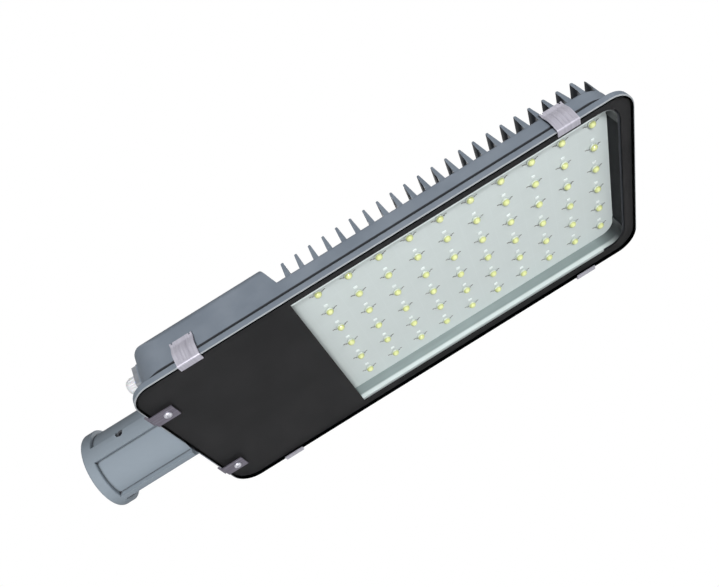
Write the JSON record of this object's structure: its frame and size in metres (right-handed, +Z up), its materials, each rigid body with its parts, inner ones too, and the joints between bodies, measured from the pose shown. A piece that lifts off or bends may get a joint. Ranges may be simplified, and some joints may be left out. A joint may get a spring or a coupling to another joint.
{
  "type": "street light head",
  "caption": "Flat LED street light head with a finned grey casting, a clipped glass cover with a black printed border, rows of emitters and a round socket that slips over a pole.",
  "frame": {"origin": "centre of the pole socket's mouth", "axes": "+X along the lamp from the socket to the tip, +Z up towards the fins, so light leaves along -Z, +Y to the right seen from the tip"},
  "size_m": [0.5922, 0.23, 0.0786],
  "materials": {
    "housing": "satin grey powder coat over die-cast aluminium",
    "pane": "clear toughened glass",
    "border": "black fired print seen through the glass",
    "gasket": "matt black silicone",
    "board": "white solder mask over aluminium",
    "thermal_pad": "grey silicone",
    "lead_frame": "tinned copper",
    "emitter_body": "white moulded resin",
    "emitter_lens": "clear silicone over yellow phosphor",
    "strip": "bright anodised sheet",
    "clip": "rolled stainless spring sheet",
    "tab": "rolled stainless sheet",
    "screw": "plain stainless",
    "bush": "matt black",
    "set_screw": "blackened steel",
    "gland": "light grey nylon",
    "gland_seal": "matt black",
    "driver": "plain extruded case, potted",
    "terminal": "off-white nylon"
  },
  "bodies": {
    "root": {"housing": "housing", "glass_cover": "pane", "printed_border": "border", "gasket": "gasket", "led_board": "board", "thermal_pad": "thermal_pad", "led_frames": "lead_frame", "led_bodies": "emitter_body", "led_lenses": "emitter_lens", "side_reflector_left": "strip", "side_reflector_right": "strip", "clip_rear_left": "clip", "clip_rear_right": "clip", "clip_front_left": "clip", "clip_front_right": "clip", "hinge_tab_left": "tab", "hinge_tab_right": "tab", "tab_screw_left": "screw", "tab_screw_right": "screw", "driver_screw_front": "screw", "driver_screw_rear": "screw", "earth_screw": "screw", "tab_bush_left": "bush", "tab_bush_right": "bush", "clamp_screw_left": "set_screw", "clamp_screw_right": "set_screw", "gland_flange": "gland", "gland_stem": "gland", "gland_nut": "gland", "gland_locknut": "gland", "gland_seal": "gland_seal", "driver": "driver", "terminal_block": "terminal"}
  },
  "joints": []
}
